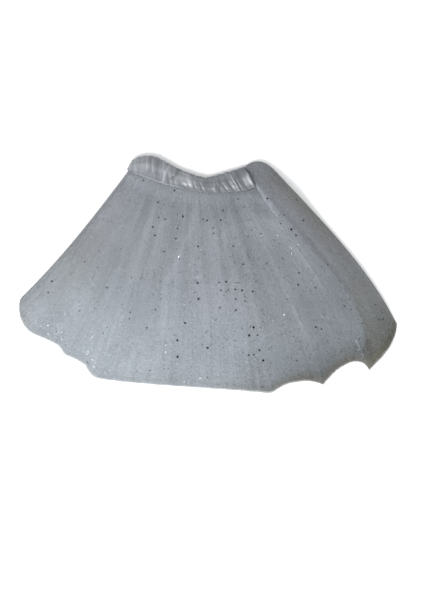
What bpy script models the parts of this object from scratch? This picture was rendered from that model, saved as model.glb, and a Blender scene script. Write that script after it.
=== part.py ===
# A child's tutu laid flat on a table, waist towards +Y, front side up.
#
# A gathered satin waistband holds three nets, each one strip of tulle closed to a tube and
# flattened, so that its front lies over its back. The nets fan out from the band to the hem.
# Every net is a wall in one shared fan: u runs from the left edge to the right edge, and
# v from the seam in the band down to the hem. Metres, +Z up, origin under the middle.

import math
from collections import namedtuple

import bmesh
import bpy
from mathutils import Vector

# Driving dimensions
NET_WALL = 0.0012  # thickness of one net, as built
NET_GAP_IN_BAND = 0.0004  # air between two nets where the band presses them
NET_GAP_PUFF = 0.0010  # air between two nets where they spring apart below the band
NET_GAP_HEM = 0.0008  # air between two nets at the hem
BAND_WALL = 0.0018  # satin casing with its elastic inside
BAND_CLEARANCE = 0.0004  # band to the nets inside it
BAND_WIDTH = 0.190  # the flattened band, from end to end
BAND_SLOT = 0.0026  # gap between the band's front and back at its free top edge
BAND_PLEATS = 18  # gathers across the band's front, and as many across its back
PLEAT_HEIGHT = 0.0016  # how far a gather of the front stands out
GROOVE_DEPTH = 0.0006  # depth of the back's gathers, which the weight presses flat
BAND_ROUND = 0.0040  # how far from its ends the band reaches its full height
NET_ROUND = 0.010  # the same at a net's side folds, as a share of the fan's width
SHOULDER_ROUND = 0.05  # the same at the top of the shoulder, as a share of the length
SKIRT_LENGTH = 0.290  # seam to hem, down the middle
HEM_WIDTH = 0.530  # the laid-out hem, from side to side
FRONT_BULGE = 0.0025  # how far the air inside lifts the whole front

SHEETS = 6  # three nets, each once on the back and once on the front
SHOULDER_FROM = 0.87  # u from which the outer net stands free beside the band
SHOULDER_MOUTH = 1.3  # half its height at the seam there, in walls
COLUMNS = 80  # columns of the fan from side to side
BACK_STEP = 2  # the flat back has one column for this many of the front's
OUTER_STATIONS = (0.0, 0.015, 0.05, 0.12, 0.24, 0.40, 0.58, 0.78, 1.0)
HIDDEN_STATIONS = (0.0, 0.05, 0.12, 0.40, 0.68, 1.0)
BAND_STATIONS = (0.0, 0.38, 0.72, 1.0)
BAND_COLUMNS_PER_PLEAT = 5

# A stretch of an outline: a cubic curve with its two handles and its end, cut into columns.
Stretch = namedtuple("Stretch", "columns leaving arriving end")

SEAM_START = (-0.106, 0.151)
SEAM = (
    Stretch(64, (-0.060, 0.125), (0.000, 0.116), (0.052, 0.1195)),  # inside the band
    Stretch(3, (0.058, 0.117), (0.063, 0.115), (0.0685, 0.1165)),  # out under its right end
    Stretch(3, (0.0705, 0.1175), (0.0645, 0.1285), (0.0615, 0.134)),  # round that corner
    Stretch(4, (0.0585, 0.1395), (0.0555, 0.145), (0.053, 0.151)),  # up beside the band
    Stretch(6, (0.064, 0.160), (0.080, 0.163), (0.097, 0.142)),  # over the shoulder
)
HEM_START = (-0.263, -0.035)
HEM = (
    Stretch(4, (-0.267, -0.047), (-0.264, -0.068), (-0.252, -0.0795)),  # left corner
    Stretch(5, (-0.240, -0.088), (-0.224, -0.092), (-0.213, -0.0985)),
    Stretch(2, (-0.207, -0.102), (-0.204, -0.110), (-0.200, -0.1135)),  # first step
    Stretch(4, (-0.192, -0.118), (-0.180, -0.122), (-0.171, -0.1288)),
    Stretch(3, (-0.169, -0.136), (-0.163, -0.145), (-0.152, -0.1474)),  # second step
    Stretch(30, (-0.100, -0.156), (0.020, -0.161), (0.084, -0.1674)),  # the long middle
    Stretch(2, (0.090, -0.168), (0.093, -0.166), (0.097, -0.1625)),  # lowest tip
    Stretch(8, (0.112, -0.151), (0.146, -0.146), (0.1624, -0.1564)),  # to the first cusp
    Stretch(10, (0.175, -0.134), (0.214, -0.107), (0.2268, -0.1355)),  # to the second
    Stretch(12, (0.245, -0.116), (0.264, -0.099), (0.266, -0.071)),  # right corner
)
# Handles of the two side folds, between the ends of the seam and of the hem.
LEFT_SIDE = ((-0.160, 0.085), (-0.205, 0.025))
RIGHT_SIDE = ((0.145, 0.090), (0.222, 0.018))

BAND_LOW_START = (-0.113, 0.146)
BAND_LOW = (Stretch(90, (-0.060, 0.120), (0.010, 0.103), (0.067, 0.121)),)
BAND_TOP_START = (-0.108, 0.1565)
BAND_TOP = (
    Stretch(20, (-0.100, 0.165), (-0.085, 0.169), (-0.072, 0.1645)),
    Stretch(40, (-0.058, 0.158), (-0.030, 0.1395), (-0.003, 0.135)),
    Stretch(30, (0.008, 0.138), (0.030, 0.142), (0.051, 0.151)),
)

# The folds of the front: where each starts in the seam and ends in the hem as u, where it
# begins and fades as v, how high it stands on the outer net, and its half width at the hem.
Fold = namedtuple("Fold", "top hem begins fades height width")
FOLDS = (
    Fold(0.05, 0.055, 0.05, 0.95, 0.0026, 0.016),
    Fold(0.11, 0.118, 0.04, 1.10, 0.0030, 0.012),
    Fold(0.17, 0.175, 0.03, 0.85, 0.0044, 0.011),
    Fold(0.24, 0.225, 0.03, 1.10, 0.0048, 0.013),
    Fold(0.32, 0.295, 0.04, 0.90, 0.0028, 0.012),
    Fold(0.41, 0.355, 0.03, 0.95, 0.0052, 0.012),
    Fold(0.47, 0.420, 0.05, 1.10, 0.0036, 0.012),
    Fold(0.55, 0.490, 0.03, 0.90, 0.0046, 0.012),
    Fold(0.61, 0.550, 0.04, 1.10, 0.0032, 0.013),
    Fold(0.66, 0.600, 0.03, 1.10, 0.0044, 0.012),
    Fold(0.72, 0.670, 0.04, 0.80, 0.0038, 0.013),
    Fold(0.76, 0.725, 0.04, 1.10, 0.0044, 0.013),
    Fold(0.79, 0.785, 0.05, 0.95, 0.0030, 0.012),
    Fold(0.83, 0.850, 0.10, 1.10, 0.0052, 0.014),
    Fold(0.90, 0.915, 0.20, 0.90, 0.0018, 0.013),
    Fold(0.96, 0.965, 0.12, 1.10, 0.0014, 0.014),
)
# How much of a fold's height each sheet takes, from the outer back up to the outer front.
FOLD_SHARE = (0.0, 0.05, 0.12, 0.35, 0.65, 1.0)

# How far each hem stops short of the outline, along the fan, at places across it.
HemInset = namedtuple("HemInset", "u outer_back middle inner")
HEM_INSETS = (
    HemInset(0.00, 0.000, 0.005, 0.011),
    HemInset(0.15, 0.004, 0.006, 0.013),
    HemInset(0.35, 0.002, 0.008, 0.016),
    HemInset(0.60, 0.006, 0.010, 0.018),
    HemInset(0.75, 0.003, 0.018, 0.026),
    HemInset(0.90, 0.005, 0.030, 0.038),
    HemInset(1.00, 0.000, 0.034, 0.042),
)
# Where the side folds of the two hidden nets lie, as u, at places down the skirt.
SideFold = namedtuple("SideFold", "v middle_left middle_right inner_left inner_right")
SIDE_FOLDS = (
    SideFold(0.00, 0.022, 0.790, 0.044, 0.764),
    SideFold(0.05, 0.022, 0.793, 0.043, 0.767),
    SideFold(0.12, 0.021, 0.808, 0.040, 0.785),
    SideFold(0.40, 0.018, 0.885, 0.032, 0.866),
    SideFold(0.68, 0.017, 0.918, 0.030, 0.902),
    SideFold(1.00, 0.016, 0.900, 0.028, 0.884),
)


def cubic(start, leaving, arriving, end, t):
    """The point at t, from 0 to 1, on a cubic curve in the plane."""
    rest = 1.0 - t
    weights = (rest**3, 3 * rest**2 * t, 3 * rest * t**2, t**3)
    return sum((w * Vector(p) for w, p in zip(weights, (start, leaving, arriving, end))), Vector((0, 0)))


def outline(start, stretches, share):
    """The point at that share, from 0 to 1, of all the columns of an outline."""
    column = share * sum(stretch.columns for stretch in stretches)
    for stretch in stretches:
        if column <= stretch.columns or stretch is stretches[-1]:
            return cubic(start, stretch.leaving, stretch.arriving, stretch.end, column / stretch.columns)
        column -= stretch.columns
        start = stretch.end


def ease(low, high, x):
    """0 below low, 1 above high, and smooth between them."""
    t = min(1.0, max(0.0, (x - low) / (high - low)))
    return t * t * (3 - 2 * t)


def between(x, pairs):
    """Linear interpolation in pairs of (x, value)."""
    for (x0, y0), (x1, y1) in zip(pairs, pairs[1:]):
        if x <= x1:
            return y0 + (y1 - y0) * max(0.0, x - x0) / (x1 - x0)
    return pairs[-1][1]


def fan(u, v):
    """The place in the plane of a point of the fan, spread between its four edges."""
    top = outline(SEAM_START, SEAM, u)
    hem = outline(HEM_START, HEM, u)
    left = cubic(SEAM_START, *LEFT_SIDE, HEM_START, v)
    right = cubic(SEAM[-1].end, *RIGHT_SIDE, HEM[-1].end, v)
    left_chord = Vector(SEAM_START).lerp(Vector(HEM_START), v)
    right_chord = Vector(SEAM[-1].end).lerp(Vector(HEM[-1].end), v)
    return top.lerp(hem, v) + (1 - u) * (left - left_chord) + u * (right - right_chord)


def quarter_round(x):
    """The height of a quarter circle, from 0 at its foot to 1 at its top and beyond."""
    return math.sqrt(max(0.0, 1 - (1 - min(1.0, x)) ** 2))


def side_fold(name, v):
    return between(v, [(row.v, getattr(row, name)) for row in SIDE_FOLDS])


def fold_height(u, v):
    """How high the folds and the bulge of the front stand at a point of the fan."""
    height = FRONT_BULGE * ease(0.03, 0.20, v) * (1 - 0.5 * ease(0.6, 1.0, v))
    for fold in FOLDS:
        middle = fold.top + (fold.hem - fold.top) * v
        width_u = fold.width / HEM_WIDTH * (1.25 - 0.25 * v)
        shown = ease(fold.begins, fold.begins + 0.12, v) * (1 - ease(fold.fades - 0.25, fold.fades, v))
        height += fold.height * shown * math.exp(-(((u - middle) / width_u) ** 2))
    return height


def pitch(u, v):
    """The height from one net to the next: its wall and the air above it."""
    down = ((0.0, NET_GAP_IN_BAND), (0.03, NET_GAP_IN_BAND), (0.2, NET_GAP_PUFF), (1.0, NET_GAP_HEM))
    gap = between(v, down)
    at_sides = 0.5 + 0.5 * ease(0.0, 0.12, min(u, 1 - u))
    return NET_WALL + gap * at_sides


def sheet_floor(sheet, u, v):
    """The height of a sheet's lower face over the table, from 0, the outer back, to 5, its front."""
    in_band = (1 - ease(0.03, 0.10, v)) * (1 - ease(0.80, 0.86, u))
    lift = in_band * (BAND_WALL + GROOVE_DEPTH + BAND_CLEARANCE)
    folds = fold_height(u, v) * FOLD_SHARE[sheet]
    level = sheet
    if sheet == SHEETS - 1:
        alone = side_fold("middle_right", v)
        sunk = ease(alone + 0.012, alone + 0.07, u) * ease(0.10, 0.45, v)
        level -= sunk * 3.0
        folds *= 1 - 0.5 * sunk
    return lift + level * pitch(u, v) + folds


def across_a_face(columns):
    """The places across one face, from one side fold over to the other, as (near, share)."""
    flat = [(1.0, i / columns) for i in range(columns + 1)]
    return [(0.0, 0.0), (0.25, 0.0), *flat, (0.25, 1.0), (0.0, 1.0)]


class Net:
    """One flattened tube of net: its front sheet, its back sheet, side folds and hems."""

    def __init__(self, back_sheet, sides, front_inset, back_inset, stations):
        self.back_sheet = back_sheet
        self.front_sheet = SHEETS - 1 - back_sheet
        self.sides = sides
        self.insets = {"front": front_inset, "back": back_inset}
        self.stations = stations

    def across(self, near, share, v, inset):
        """The u of a point. near says how far it lies from its side fold, as a share of the
        rounding, and share how far it lies from the left fold to the right one."""
        left, right = (0.0, 1.0) if self.sides is None else (side_fold(name, v) for name in self.sides)
        if near >= 1.0:
            return min(max(left + (right - left) * share, left + NET_ROUND), right - NET_ROUND)
        side, inward = (left, NET_ROUND) if share < 0.5 else (right, -NET_ROUND)
        width = (fan(side + inward, v) - fan(side, v)).length
        brought_in = inset / width
        return side + inward * (brought_in + (1 - brought_in) * near)

    def v_at(self, face, u, station):
        """The v of a station of the rows, which end in this face's own hem."""
        return station * (1 - self.insets[face](u) / SKIRT_LENGTH)

    def point(self, face, near, share, station, inset):
        """A point of one face, on the wall's outside or, with an inset, on its inside."""
        u = self.across(near, share, station, inset)
        v = self.v_at(face, u, station)
        under = sheet_floor(self.back_sheet, u, v) + inset
        over = sheet_floor(self.front_sheet, u, v) + NET_WALL - inset
        middle = (under + over) / 2
        fullness = quarter_round(near)
        if u > SHOULDER_FROM:
            closed = 2 * (SHOULDER_MOUTH * NET_WALL - inset) / (over - under)
            fullness *= closed + (1 - closed) * quarter_round(v / SHOULDER_ROUND)
        return Vector((*fan(u, v), middle + ((over if face == "front" else under) - middle) * fullness))

    def ring(self, station, inset):
        """One closed loop round the tube: over the front from left to right, and back below."""
        over = [("front", near, share) for near, share in across_a_face(COLUMNS)]
        under = [("back", near, share) for near, share in across_a_face(COLUMNS // BACK_STEP)]
        return [self.point(*place, station, inset) for place in over + under[-2:0:-1]]


def tube_wall(name, material, outer_rings, inner_rings):
    """One closed wall between two sets of rings, open at both ends of the tube."""
    mesh = bmesh.new()
    outer = [[mesh.verts.new(p) for p in ring] for ring in outer_rings]
    inner = [[mesh.verts.new(p) for p in ring] for ring in inner_rings]
    count = len(outer[0])
    for i in range(count):
        j = (i + 1) % count
        for row, following in zip(outer, outer[1:]):
            mesh.faces.new((row[i], following[i], following[j], row[j]))
        for row, following in zip(inner, inner[1:]):
            mesh.faces.new((row[j], following[j], following[i], row[i]))
        mesh.faces.new((outer[0][j], inner[0][j], inner[0][i], outer[0][i]))
        mesh.faces.new((outer[-1][i], inner[-1][i], inner[-1][j], outer[-1][j]))
    bmesh.ops.triangulate(mesh, faces=mesh.faces[:], quad_method="FIXED")
    data = bpy.data.meshes.new(name)
    mesh.to_mesh(data)
    mesh.free()
    data.shade_smooth()
    data.set_sharp_from_angle(angle=math.radians(50))
    data.materials.append(material)
    wall = bpy.data.objects.new(name, data)
    bpy.context.scene.collection.objects.link(wall)
    return wall


def hem_inset(column):
    pairs = [(row.u, getattr(row, column)) for row in HEM_INSETS]
    return lambda u: between(u, pairs)


def net_wall(name, material, net):
    outer = [net.ring(station, 0.0) for station in net.stations]
    inner = [net.ring(station, NET_WALL) for station in net.stations]
    return tube_wall(name, material, outer, inner)


def pleat(s):
    """The gathers along the band, from 0 in a crease to 1 on a crest, unevenly spaced."""
    uneven = s + 0.010 * math.sin(2 * math.pi * 2.3 * s) + 0.006 * math.sin(2 * math.pi * 5.1 * s + 1.0)
    deep = 0.70 + 0.30 * math.sin(2 * math.pi * 3.7 * s + 0.6)
    return deep * abs(math.sin(math.pi * BAND_PLEATS * uneven)) ** 0.8


def band_point(face, near, share, station, inset):
    """A point of the band's wall. station runs from its seam edge, 0, to its free edge, 1."""
    end = (inset + near * (BAND_ROUND - inset)) / BAND_WIDTH
    s = end + (1 - 2 * end) * share
    low = outline(BAND_LOW_START, BAND_LOW, s)
    top = outline(BAND_TOP_START, BAND_TOP, s)
    place = low.lerp(top, station)
    stack = SHEETS * NET_WALL + (SHEETS - 1) * NET_GAP_IN_BAND + 2 * BAND_CLEARANCE
    clear = stack + (BAND_SLOT - stack) * ease(0.55, 1.0, station)
    relief = 1 - 0.35 * abs(2 * station - 1)
    under = GROOVE_DEPTH * max(0.0, 1 - 2 * pleat(s)) + inset
    over = GROOVE_DEPTH + 2 * BAND_WALL + clear + PLEAT_HEIGHT * pleat(s) * relief - inset
    middle = (under + over) / 2
    fullness = quarter_round(near)
    return Vector((*place, middle + ((over if face == "front" else under) - middle) * fullness))


def band_ring(station, inset):
    places = across_a_face(BAND_PLEATS * BAND_COLUMNS_PER_PLEAT)
    over = [("front", near, share) for near, share in places]
    under = [("back", near, share) for near, share in places]
    return [band_point(*place, station, inset) for place in over + under[-2:0:-1]]


def finish(name, colour, roughness):
    """A cloth material."""
    material = bpy.data.materials.new(name)
    material.use_nodes = True
    shader = material.node_tree.nodes["Principled BSDF"]
    shader.inputs["Base Color"].default_value = (*colour, 1.0)
    shader.inputs["Roughness"].default_value = roughness
    shader.inputs["Metallic"].default_value = 0.0
    return material


def centre_on_table():
    """Shifts every wall so that the origin lies under the middle of their common box."""
    meshes = [obj.data for obj in bpy.data.objects]
    places = [vertex.co for mesh in meshes for vertex in mesh.vertices]
    lows = [min(place[axis] for place in places) for axis in range(3)]
    highs = [max(place[axis] for place in places) for axis in range(3)]
    shift = Vector((-(lows[0] + highs[0]) / 2, -(lows[1] + highs[1]) / 2, -lows[2]))
    for mesh in meshes:
        for vertex in mesh.vertices:
            vertex.co += shift


def build():
    for obj in list(bpy.data.objects):
        bpy.data.objects.remove(obj, do_unlink=True)
    satin = finish("satin", (0.52, 0.54, 0.57), 0.35)
    glitter_net = finish("glitter_net", (0.33, 0.36, 0.40), 0.75)
    plain_net = finish("plain_net", (0.42, 0.45, 0.49), 0.80)
    outer = Net(0, None, lambda u: 0.0, hem_inset("outer_back"), OUTER_STATIONS)
    middle = Net(1, ("middle_left", "middle_right"), hem_inset("middle"), hem_inset("middle"), HIDDEN_STATIONS)
    inner = Net(2, ("inner_left", "inner_right"), hem_inset("inner"), hem_inset("inner"), HIDDEN_STATIONS)
    net_wall("outer_net", glitter_net, outer)
    net_wall("middle_net", plain_net, middle)
    net_wall("inner_net", plain_net, inner)
    # The rings run up the band, against the way the nets' rings run down, so they are reversed.
    outer_rings = [band_ring(station, 0.0) for station in reversed(BAND_STATIONS)]
    inner_rings = [band_ring(station, BAND_WALL) for station in reversed(BAND_STATIONS)]
    tube_wall("waistband", satin, outer_rings, inner_rings)
    centre_on_table()


build()
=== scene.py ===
# A child's tutu laid flat, front side up: three gathered nets on one satin waistband.
import math
import random

import bpy
import numpy as np
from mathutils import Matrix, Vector


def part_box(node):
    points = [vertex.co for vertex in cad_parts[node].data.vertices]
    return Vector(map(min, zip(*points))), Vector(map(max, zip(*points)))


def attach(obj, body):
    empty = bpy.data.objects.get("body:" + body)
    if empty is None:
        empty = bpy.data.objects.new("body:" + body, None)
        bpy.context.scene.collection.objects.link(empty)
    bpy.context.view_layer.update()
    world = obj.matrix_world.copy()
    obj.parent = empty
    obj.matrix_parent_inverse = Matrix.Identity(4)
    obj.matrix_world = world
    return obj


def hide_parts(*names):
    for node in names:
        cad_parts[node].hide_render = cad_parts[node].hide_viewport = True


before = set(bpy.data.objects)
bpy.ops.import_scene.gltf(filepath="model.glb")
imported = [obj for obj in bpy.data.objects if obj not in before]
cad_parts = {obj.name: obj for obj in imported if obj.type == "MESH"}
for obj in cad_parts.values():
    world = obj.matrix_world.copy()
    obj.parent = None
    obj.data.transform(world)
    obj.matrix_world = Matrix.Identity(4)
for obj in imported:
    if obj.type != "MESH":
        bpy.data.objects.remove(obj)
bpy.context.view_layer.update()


# The inner net
# The shortest of the three skirts: a long strip of pale silver tulle, closed to a tube and drawn
# up on a thread at the waist. All three are sewn into one seam, so laid flat they share one fan
# of six sheets. u runs across the fan from left to right, v from the seam down to the hem.

SEAM_START = (-0.106, 0.151)
SEAM = (  # columns, leaving handle, arriving handle, end
    (64, (-0.060, 0.125), (0.000, 0.116), (0.052, 0.1195)),  # inside the band
    (3, (0.058, 0.117), (0.063, 0.115), (0.0685, 0.1165)),  # out under its right end
    (3, (0.0705, 0.1175), (0.0645, 0.1285), (0.0615, 0.134)),  # round that corner
    (4, (0.0585, 0.1395), (0.0555, 0.145), (0.053, 0.151)),  # up beside the band
    (6, (0.064, 0.160), (0.080, 0.163), (0.097, 0.142)),  # over the shoulder
)
HEM_START = (-0.263, -0.035)
HEM = (
    (4, (-0.267, -0.047), (-0.264, -0.068), (-0.252, -0.0795)),  # left corner
    (5, (-0.240, -0.088), (-0.224, -0.092), (-0.213, -0.0985)),
    (2, (-0.207, -0.102), (-0.204, -0.110), (-0.200, -0.1135)),  # first step
    (4, (-0.192, -0.118), (-0.180, -0.122), (-0.171, -0.1288)),
    (3, (-0.169, -0.136), (-0.163, -0.145), (-0.152, -0.1474)),  # second step
    (30, (-0.100, -0.156), (0.020, -0.161), (0.084, -0.1674)),  # the long middle
    (2, (0.090, -0.168), (0.093, -0.166), (0.097, -0.1625)),  # lowest tip
    (8, (0.112, -0.151), (0.146, -0.146), (0.1624, -0.1564)),  # to the first cusp
    (10, (0.175, -0.134), (0.214, -0.107), (0.2268, -0.1355)),  # to the second
    (12, (0.245, -0.116), (0.264, -0.099), (0.266, -0.071)),  # right corner
)
LEFT_SIDE = (SEAM_START, (-0.1572, 0.0826), (-0.2026, 0.0235), HEM_START)
RIGHT_SIDE = (SEAM[-1][-1], (0.145, 0.090), (0.222, 0.018), HEM[-1][-1])


def cubic(start, leaving, arriving, end, t):
    """Points at t, from 0 to 1, on a cubic curve in the plane."""
    t = np.asarray(t)[..., None]
    rest = 1 - t
    start, leaving, arriving, end = map(np.array, (start, leaving, arriving, end))
    return rest**3 * start + 3 * rest**2 * t * leaving + 3 * rest * t**2 * arriving + t**3 * end


def outline(start, stretches, share):
    """Points at shares, from 0 to 1, of all the columns of a chain of cubic curves."""
    column = share * sum(stretch[0] for stretch in stretches)
    points = np.zeros((*np.shape(share), 2))
    for columns, leaving, arriving, end in stretches:
        curve = cubic(start, leaving, arriving, end, np.clip(column / columns, 0, 1))
        points = np.where((column >= 0)[..., None], curve, points)
        column = column - columns
        start = end
    return points


def flat_fan(u, v):
    """The place of points of the fan in the plane, spread between its four edges."""
    across, down = np.asarray(u)[..., None], np.asarray(v)[..., None]
    top, hem = outline(SEAM_START, SEAM, u), outline(HEM_START, HEM, u)
    left = cubic(*LEFT_SIDE, v) - (1 - down) * LEFT_SIDE[0] - down * LEFT_SIDE[-1]
    right = cubic(*RIGHT_SIDE, v) - (1 - down) * RIGHT_SIDE[0] - down * RIGHT_SIDE[-1]
    return (1 - down) * top + down * hem + (1 - across) * left + across * right


net_edge = np.linspace(0, 1, 401)
net_rim = [flat_fan(net_edge, 0 * net_edge + end) for end in (0, 1)]
net_rim += [flat_fan(0 * net_edge + end, net_edge) for end in (0, 1)]
net_rim = np.concatenate(net_rim)
net_low, net_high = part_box("outer_net")
LAID_AT = (np.array((net_low + net_high)[:2]) - net_rim.min(0) - net_rim.max(0)) / 2


def fan(u, v):
    """The place of points of the fan on the table."""
    return flat_fan(u, v) + LAID_AT


NET_WALL = 0.0012
BAND_WALL = 0.0018
BAND_CLEARANCE = 0.0004
GROOVE_DEPTH = 0.0006
FRONT_BULGE = 0.0025
SHEETS = 6
SEAM_GAP = 0.0004
SHEET_GAPS = ((0.0, 0.03, 0.2, 1.0), (SEAM_GAP, SEAM_GAP, 0.0010, 0.0008))  # v, gap
FOLD_SHARE = (0.0, 0.05, 0.12, 0.35, 0.65, 1.0)
HEM_DROOP = (0.0, 0.0, 0.0, 0.8, 1.4, 1.6)  # how many sheets' height each hem falls
DROOPS_FROM = 0.86  # the v where it begins to fall
WAVE_HEIGHT = 0.0005  # of the hem's slow waves
BAND_DEPTH = (0.03, 0.10)  # v where the nets come out of the band
BAND_END = (0.80, 0.86)  # u where the band ends over them
ALONE_FROM = 0.90  # the least u where the front lies past the pale nets
SUNK_SHEETS = 3  # how many sheets it sinks there
RISE_BESIDE_BAND = (0.885, 0.030, 0.16, 0.0022)  # u, half width in u, v where it ends, height
FOLDS_SINK = 0.42  # what is left of each fold once the skirt has lain for a while
FOLD_WANDER = 0.004  # in u, as is the next
CREASE_WANDER = 0.002
FOLDS = (  # u at the seam, u at the hem, v where it begins and fades, height, half width
    (0.05, 0.055, 0.05, 0.75, 0.0026, 0.016),
    (0.11, 0.118, 0.04, 0.90, 0.0030, 0.012),
    (0.17, 0.175, 0.03, 0.72, 0.0044, 0.011),
    (0.24, 0.225, 0.03, 0.90, 0.0048, 0.013),
    (0.32, 0.295, 0.04, 0.72, 0.0028, 0.012),
    (0.41, 0.355, 0.03, 0.75, 0.0052, 0.012),
    (0.47, 0.420, 0.05, 0.90, 0.0036, 0.012),
    (0.55, 0.490, 0.03, 0.72, 0.0046, 0.012),
    (0.61, 0.550, 0.04, 0.90, 0.0032, 0.013),
    (0.66, 0.600, 0.03, 0.90, 0.0044, 0.012),
    (0.72, 0.670, 0.04, 0.72, 0.0038, 0.013),
    (0.76, 0.725, 0.04, 0.90, 0.0044, 0.013),
    (0.79, 0.785, 0.05, 0.75, 0.0022, 0.014),
    (0.83, 0.838, 0.10, 0.62, 0.0044, 0.016),
    (0.90, 0.915, 0.20, 0.72, 0.0018, 0.013),
    (0.96, 0.965, 0.12, 0.90, 0.0014, 0.014),
)
HEM_WIDTH = 0.530
SEAM_SHARE = 0.35  # of the hem's width, across the seam
SKIRT_LENGTH = 0.290
SIDE_FOLDS = {  # u of the hidden nets' side folds at places down the skirt
    "v": (0.00, 0.05, 0.12, 0.40, 0.68, 1.00),
    "middle_left": (0.022, 0.022, 0.021, 0.018, 0.017, 0.016),
    "middle_right": (0.790, 0.793, 0.808, 0.885, 0.918, 0.900),
    "inner_left": (0.044, 0.043, 0.040, 0.032, 0.030, 0.028),
    "inner_right": (0.764, 0.767, 0.785, 0.866, 0.902, 0.884),
}
HEM_INSETS = {  # how far each hem stops short of the outline, at places across it
    "u": (0.00, 0.15, 0.35, 0.60, 0.75, 0.90, 1.00),
    "outer_front": (0.000, 0.000, 0.000, 0.000, 0.000, 0.000, 0.000),
    "outer_back": (0.000, 0.001, 0.0005, 0.0015, 0.001, 0.001, 0.000),
    "middle": (0.005, 0.006, 0.008, 0.010, 0.018, 0.030, 0.034),
    "inner": (0.011, 0.013, 0.016, 0.018, 0.026, 0.038, 0.042),
}
RAW_EDGE = 0.0007
NET_EASE = 1.1  # width of the cloth over that of the fan
ROWS_CROWD = 1.15  # above 1, rows of the mesh lie closer near the seam
CREASE_TONE = 3.5  # how much more strongly a crease is painted lighter or darker than a fold of its height
NET_ROUND = 0.010  # in u, as is the next
SHOULDER_FROM = 0.87
SHOULDER_ROUND = 0.05
ROUNDING = np.sin(np.linspace(0, np.pi / 2, 7)[:-1]) ** 2

GATHER_COUNT = 78
GATHERED_TO = 0.84  # u of the last gather, under the band's right end
thread_pull = random.Random(7)
GATHERS = [  # small gathers where the thread draws the net in: u, height, half width, end, lean
    (
        (k + thread_pull.uniform(0.15, 0.85)) / GATHER_COUNT * GATHERED_TO,
        thread_pull.uniform(0.0001, 0.0005),
        thread_pull.uniform(0.0030, 0.0060),
        thread_pull.uniform(0.14, 0.60),
        thread_pull.uniform(-0.012, 0.012),
    )
    for k in range(GATHER_COUNT)
]


def ease(low, high, x):
    """0 below low, 1 above high, and smooth between them."""
    t = np.clip((x - low) / (high - low), 0, 1)
    return t * t * (3 - 2 * t)


def quarter_round(x):
    """From 0 to 1 as x does, on a quarter of a circle."""
    return np.sqrt(np.clip(1 - (1 - np.clip(x, 0, 1)) ** 2, 0, 1))


def side_fold(name, v):
    """The u of a side fold, rounded off where its stretches meet."""
    shifts = (-0.04, -0.02, 0, 0.02, 0.04)
    return sum(np.interp(v + shift, SIDE_FOLDS["v"], SIDE_FOLDS[name]) for shift in shifts) / 5


def fold_height(u, v):
    """How high the folds, the gathers and the bulge of the front stand."""
    height = FRONT_BULGE * ease(0.03, 0.20, v) * (1 - 0.5 * ease(0.6, 1.0, v))
    for top, hem, begins, fades, tall, wide in FOLDS:
        middle = top + (hem - top) * v + FOLD_WANDER * np.sin(9 * v + 40 * top) * v
        wide_u = wide / HEM_WIDTH * (1.25 - 0.25 * v)
        shown = ease(begins, begins + 0.12, v) * (1 - ease(fades - 0.25, fades, v))
        height = height + FOLDS_SINK * tall * shown * np.exp(-(((u - middle) / wide_u) ** 2))
    for top, tall, wide_u, fades, lean in GATHERS:
        shown = 1 - ease(0.15 * fades, fades, v)
        height = height + tall * shown * np.exp(-(((u - top - lean * v) / wide_u) ** 2))
    return height


def crease_height(creases, u, v):
    """Narrow creases: u and v where each begins, u and v where it ends, height, half width."""
    height = 0 * u
    for u0, v0, u1, v1, tall, wide in creases:
        along = np.clip((v - v0) / (v1 - v0), 0, 1)
        middle = u0 + (u1 - u0) * along + CREASE_WANDER * np.sin(14 * v + 30 * u0)
        wide_u = wide / (HEM_WIDTH * (SEAM_SHARE + (1 - SEAM_SHARE) * v))
        shown = ease(v0 - 0.03, v0 + 0.08, v) * (1 - ease(v1 - 0.10, v1 + 0.03, v))
        height = height + tall * shown * np.exp(-(((u - middle) / wide_u) ** 2))
    return height


def sheet_height(sheet, u, v):
    """The height of a sheet over the table, from 0, the outer net's back, to 5, its front."""
    gap = np.interp(v, *SHEET_GAPS)
    pitch = NET_WALL + gap * (0.5 + 0.5 * ease(0.0, 0.12, np.minimum(u, 1 - u)))
    in_band = (1 - ease(*BAND_DEPTH, v)) * (1 - ease(*BAND_END, u))
    lift = in_band * (BAND_WALL + GROOVE_DEPTH + BAND_CLEARANCE)
    folds = fold_height(u, v) * FOLD_SHARE[sheet]
    level = sheet - HEM_DROOP[sheet] * ease(DROOPS_FROM, 1.0, v)
    waves = np.sin(53 * u + 0.7 * sheet) * np.sin(17 * u + 2 + 0.4 * sheet)
    folds = folds + WAVE_HEIGHT * (0.2 + 0.16 * sheet) * waves * ease(0.70, 1.0, v)
    if sheet == SHEETS - 1:
        alone = np.maximum(side_fold("middle_right", v), ALONE_FROM)
        sunk = ease(alone, alone + 0.10, u) * ease(0.10, 0.45, v)
        level = level - SUNK_SHEETS * sunk
        folds = folds * (1 - 0.5 * sunk)
        rise_u, rise_wide, rise_ends, rise = RISE_BESIDE_BAND
        rise = rise * np.exp(-(((u - rise_u) / rise_wide) ** 2)) * (1 - ease(0.0, rise_ends, v))
        folds = folds + rise
    return lift + level * pitch + folds + NET_WALL / 2


def once_round(columns):
    """Once round a flattened tube, over the front from left to right and back below it: how
    near each point is to its side edge, from 0 on it to 1, its share of the width, its face."""
    share = np.concatenate([0 * ROUNDING, np.linspace(0, 1, columns + 1), 0 * ROUNDING + 1])
    near = np.concatenate([ROUNDING, np.ones(columns + 1), ROUNDING[::-1]])
    face = np.concatenate([0 * near + 1, 0 * near[1:-1] - 1])
    near, share = (np.concatenate([x, x[-2:0:-1]]) for x in (near, share))
    return near, share, face


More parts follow.
